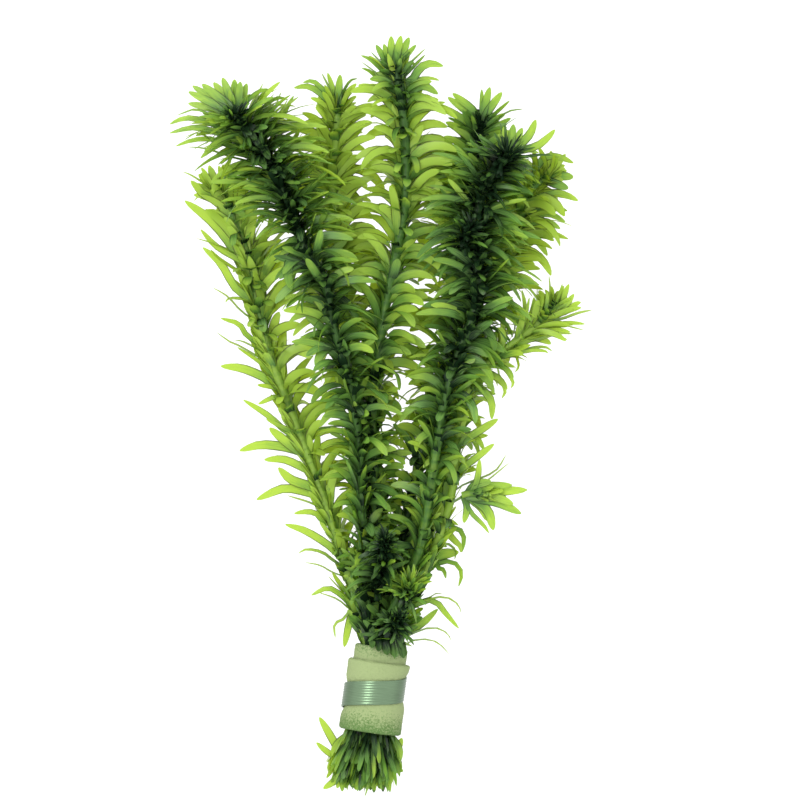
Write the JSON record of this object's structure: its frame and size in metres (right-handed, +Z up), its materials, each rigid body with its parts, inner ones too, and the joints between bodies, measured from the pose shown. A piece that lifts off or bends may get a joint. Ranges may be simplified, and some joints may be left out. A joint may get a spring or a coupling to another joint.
{
  "type": "brazilian waterweed bunch",
  "caption": "Cut bunch of brazilian waterweed: long shoots with whorls of curled leaves, held in a foam sleeve by a metal strip, lying flat.",
  "frame": {"origin": "centre of the bunch's box, on the table it lies on", "axes": "+X to the right as the bunch is looked down on, +Y up the bunch from the cut ends to the tips, +Z up from the table"},
  "size_m": [0.132, 0.2486, 0.0518],
  "materials": {
    "leaf_bright": "wet translucent yellow-green leaf, one layer against the light",
    "leaf_mid": "wet translucent mid-green leaf",
    "leaf_dark": "wet dark green leaf, densely overlapped",
    "leaf_pale": "wet pale green young leaf",
    "foam": "damp open-cell foam, pale green",
    "band": "soft grey metal strip with fine lengthwise ridges"
  },
  "bodies": {
    "root": {"shoot_left_rear": "leaf_bright", "shoot_left_front": "leaf_dark", "shoot_left_middle": "leaf_bright", "shoot_centre": "leaf_mid", "shoot_right_middle": "leaf_mid", "shoot_right_front": "leaf_dark", "shoot_right_rear": "leaf_bright", "shoot_right_outer": "leaf_mid", "side_shoot_right": "leaf_bright", "side_shoot_crown": "leaf_dark", "side_shoot_rosette": "leaf_pale", "side_shoot_dark": "leaf_dark", "side_shoot_low": "leaf_dark", "foam_sleeve": "foam", "metal_band": "band"}
  },
  "joints": []
}
